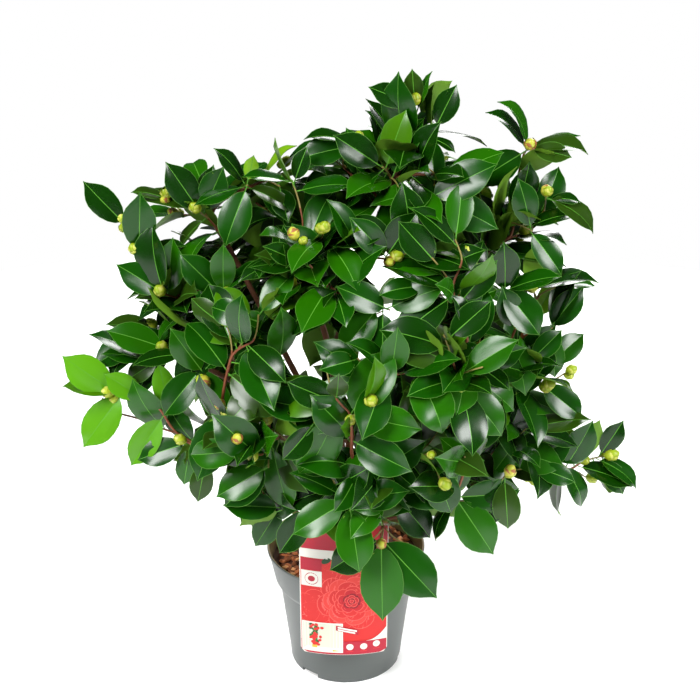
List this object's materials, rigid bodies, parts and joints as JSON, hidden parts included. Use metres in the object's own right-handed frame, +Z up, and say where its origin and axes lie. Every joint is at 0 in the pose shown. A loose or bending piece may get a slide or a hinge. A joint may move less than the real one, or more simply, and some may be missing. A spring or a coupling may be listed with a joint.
{
  "type": "potted camellia shrub",
  "caption": "Bushy evergreen camellia shrub with glossy leaves and fat flower buds, standing in its round nursery pot with a picture card.",
  "frame": {"origin": "centre of the pot's flat underside, on the surface that it stands on", "axes": "+Z up along the pot's axis, the label card on the -Y side, +X to the right of someone who faces the card"},
  "size_m": [0.6729, 0.4331, 0.7169],
  "materials": {
    "foliage": "satin",
    "bark": "matte",
    "pot": "satin",
    "soil": "matte",
    "card": "satin"
  },
  "bodies": {
    "root": {"pot": "pot", "soil": "soil", "label_card": "card", "stem": "bark", "bough_centre_lower": "bark", "bough_centre_upper": "bark", "bough_right_high": "bark", "bough_right_middle": "bark", "bough_right_low": "bark", "bough_right_skirt": "bark", "bough_left_upper": "bark", "bough_left_high": "bark", "bough_left_middle": "bark", "bough_left_low": "bark", "bough_left_skirt": "bark", "bough_front_low": "bark", "bough_front_rim": "bark", "bough_front_left": "bark", "bough_front_right": "bark", "bough_front_upper": "bark", "bough_back_left": "bark", "bough_back_low": "bark", "bough_back_right": "bark", "bough_back_upper": "bark", "leaves_top": "foliage", "leaves_top_left": "foliage", "leaves_top_front": "foliage", "leaves_top_back": "foliage", "leaves_right_tip_high": "foliage", "leaves_right_high": "foliage", "leaves_right_upper": "foliage", "leaves_right_middle": "foliage", "leaves_right_low_tip": "foliage", "leaves_right_low": "foliage", "leaves_right_skirt": "foliage", "leaves_front_low": "foliage", "leaves_front_rim": "foliage", "leaves_front_right_low": "foliage", "leaves_front_left_low": "foliage", "leaves_front_middle": "foliage", "leaves_front_right": "foliage", "leaves_front_left": "foliage", "leaves_front_upper_left": "foliage", "leaves_front_upper_right": "foliage", "leaves_left_skirt": "foliage", "leaves_left_low": "foliage", "leaves_left_low_tip": "foliage", "leaves_left_middle": "foliage", "leaves_left_upper": "foliage", "leaves_left_tip_high": "foliage", "leaves_left_high": "foliage", "leaves_shoulder": "foliage", "leaves_back_upper_left": "foliage", "leaves_back_upper_right": "foliage", "leaves_back_left": "foliage", "leaves_back_middle": "foliage", "leaves_back_right": "foliage", "leaves_back_low_left": "foliage", "leaves_back_low": "foliage", "leaves_back_low_right": "foliage"}
  },
  "joints": []
}
